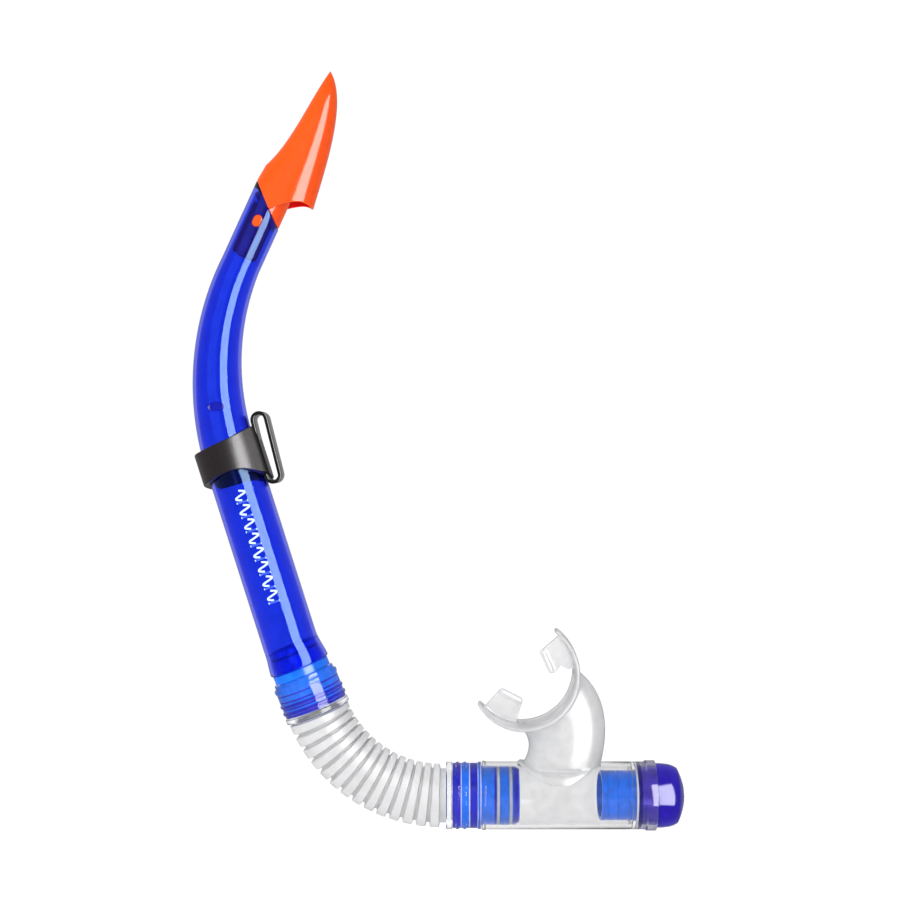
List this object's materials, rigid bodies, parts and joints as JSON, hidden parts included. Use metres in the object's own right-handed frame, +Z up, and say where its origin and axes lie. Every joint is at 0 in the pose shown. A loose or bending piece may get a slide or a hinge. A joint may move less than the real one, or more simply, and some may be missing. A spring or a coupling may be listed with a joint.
{
  "type": "snorkel tube",
  "caption": "Adult snorkel: bent tube with a splash guard, sliding strap keeper, corrugated flexible hose, swivelling mouthpiece chamber and purge valve.",
  "frame": {"origin": "middle of the keeper's strap slot, where the mask strap holds the snorkel", "axes": "+Z up as the snorkel is held upright, the tube bends in the XZ plane with the mouthpiece towards +X, +Y away from the viewer"},
  "size_m": [0.27, 0.038, 0.4147],
  "materials": {
    "barrel_blue": "glossy transparent blue",
    "guard_orange": "glossy orange",
    "keeper_rubber": "satin black",
    "clip_black": "glossy black",
    "connector_azure": "glossy transparent azure",
    "clear_silicone": "clear soft silicone",
    "frosted_silicone": "frosted clear silicone",
    "clear_plastic": "glossy clear plastic",
    "cover_violet": "glossy dark violet blue",
    "seal_rubber": "pale rubber"
  },
  "bodies": {
    "keeper": {"keeper_band": "keeper_rubber", "keeper_clip": "clip_black"},
    "barrel": {"barrel": "barrel_blue", "splash_guard": "guard_orange", "upper_connector": "connector_azure", "barrel_seal": "seal_rubber"},
    "tongue_front": {"guard_tongue_front": "guard_orange"},
    "tongue_back": {"guard_tongue_back": "guard_orange"},
    "hose": {"hose_cuff_upper": "clear_silicone", "corrugated_hose": "frosted_silicone"},
    "lower_joint": {"hose_cuff_lower": "clear_silicone", "hose_connector": "connector_azure", "connector_o_ring_1": "seal_rubber", "connector_o_ring_2": "seal_rubber"},
    "chamber": {"chamber": "clear_plastic", "mouthpiece": "clear_silicone", "seat_gasket": "seal_rubber", "valve_seat": "connector_azure", "purge_cover": "cover_violet"},
    "purge_valve": {"purge_diaphragm": "clear_silicone"}
  },
  "joints": [
    {"name": "keeper_slide", "type": "slide", "parent": "keeper", "child": "barrel", "axis": [-0.304, 0, 0.9527], "range_m": [0, 0.085]},
    {"name": "tongue_front_press", "type": "hinge", "parent": "barrel", "child": "tongue_front", "pos_m": [-0.00022, -0.0081, 0.13246], "axis": [0.91, 0, -0.4147], "range_deg": [0, 9], "stiffness_Nm_per_rad": 0.4},
    {"name": "tongue_back_press", "type": "hinge", "parent": "barrel", "child": "tongue_back", "pos_m": [-0.00022, 0.0081, 0.13246], "axis": [-0.91, 0, 0.4147], "range_deg": [0, 9], "stiffness_Nm_per_rad": 0.4},
    {"name": "hose_swivel", "type": "hinge", "parent": "barrel", "child": "hose", "pos_m": [0.01764, 0, -0.11998], "axis": [-0.373, 0, 0.9278], "continuous": true},
    {"name": "hose_flex", "type": "hinge", "parent": "hose", "child": "lower_joint", "pos_m": [0.05712, 0, -0.17525], "axis": [0, 1, 0], "range_deg": [-30, 30], "stiffness_Nm_per_rad": 0.8, "springref_deg": -6.88, "deforming": ["corrugated_hose"]},
    {"name": "chamber_swivel", "type": "hinge", "parent": "lower_joint", "child": "chamber", "pos_m": [0.12823, 0, -0.19127], "axis": [1, 0, 0], "continuous": true},
    {"name": "purge_lift", "type": "slide", "parent": "chamber", "child": "purge_valve", "axis": [1, 0, 0], "range_m": [0, 0.0011], "stiffness_N_per_m": 40}
  ]
}
